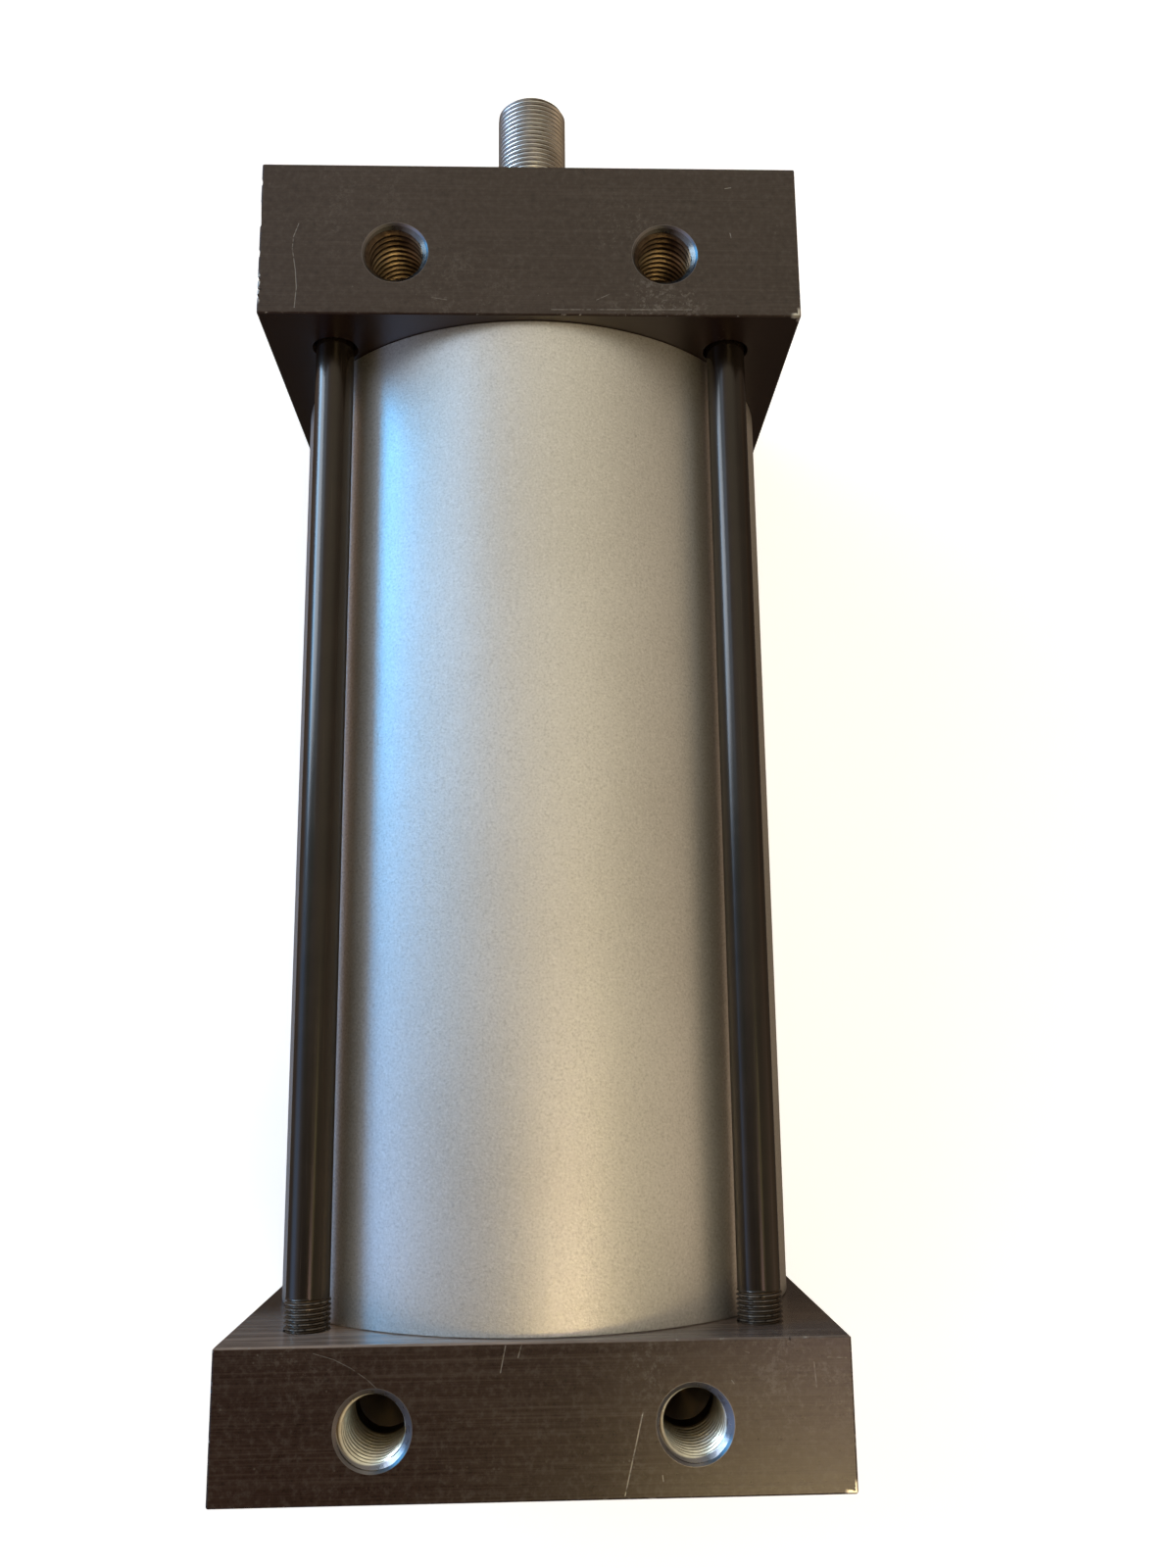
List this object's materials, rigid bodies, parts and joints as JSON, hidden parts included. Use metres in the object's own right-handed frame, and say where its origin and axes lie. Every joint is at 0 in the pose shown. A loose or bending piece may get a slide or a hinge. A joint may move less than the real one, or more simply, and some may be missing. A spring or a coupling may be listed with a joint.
{
  "type": "pneumatic cylinder",
  "caption": "Tie-rod air cylinder: square end blocks, round tube, side-tapped mounting holes and a piston rod with a threaded end.",
  "frame": {"origin": "under the middle of the whole cylinder, on the plane of the port face that it lies on", "axes": "+Z is the outward normal of the tapped mounting face, +Y is the way the piston rod extends, +X is to the right of someone looking along +Y"},
  "size_m": [0.165, 0.4636, 0.1651],
  "materials": {
    "black_anodised": "black anodised, fine milled lines, satin",
    "clear_anodised": "clear anodised, satin, fine lengthwise drawing marks",
    "black_oxide": "black oxide on steel, oiled, semi-gloss",
    "chromed_steel": "hard chrome shaft and bright cut thread",
    "plain_steel": "plain turned steel",
    "bare_aluminium": "bare machined aluminium",
    "bronze": "turned bearing bronze",
    "seal_rubber": "smooth black nitrile rubber",
    "bearing_plastic": "matt filled bearing plastic"
  },
  "bodies": {
    "barrel": {"head_block": "black_anodised", "cap_block": "black_anodised", "tube": "clear_anodised", "tie_rod_front_left": "black_oxide", "tie_rod_front_right": "black_oxide", "tie_rod_back_left": "black_oxide", "tie_rod_back_right": "black_oxide", "tie_rod_nuts": "black_oxide", "rod_gland": "bronze", "gland_retainer": "black_oxide", "retainer_screws": "black_oxide", "rod_seal": "seal_rubber", "rod_wiper": "seal_rubber", "gland_oring": "seal_rubber", "head_tube_seal": "seal_rubber", "cap_tube_seal": "seal_rubber"},
    "piston_packing": {"piston_seal_front": "seal_rubber", "piston_seal_rear": "seal_rubber", "wear_band": "bearing_plastic"},
    "rod": {"piston_rod": "chromed_steel", "piston": "bare_aluminium", "piston_nut": "plain_steel", "piston_rod_oring": "seal_rubber"}
  },
  "joints": [
    {"name": "rod_slide", "type": "slide", "parent": "barrel", "child": "piston_packing", "axis": [0, 1, 0], "range_m": [0, 0.254]},
    {"name": "rod_turn", "type": "hinge", "parent": "piston_packing", "child": "rod", "pos_m": [0, 0, 0.08255], "axis": [0, 1, 0], "continuous": true}
  ]
}
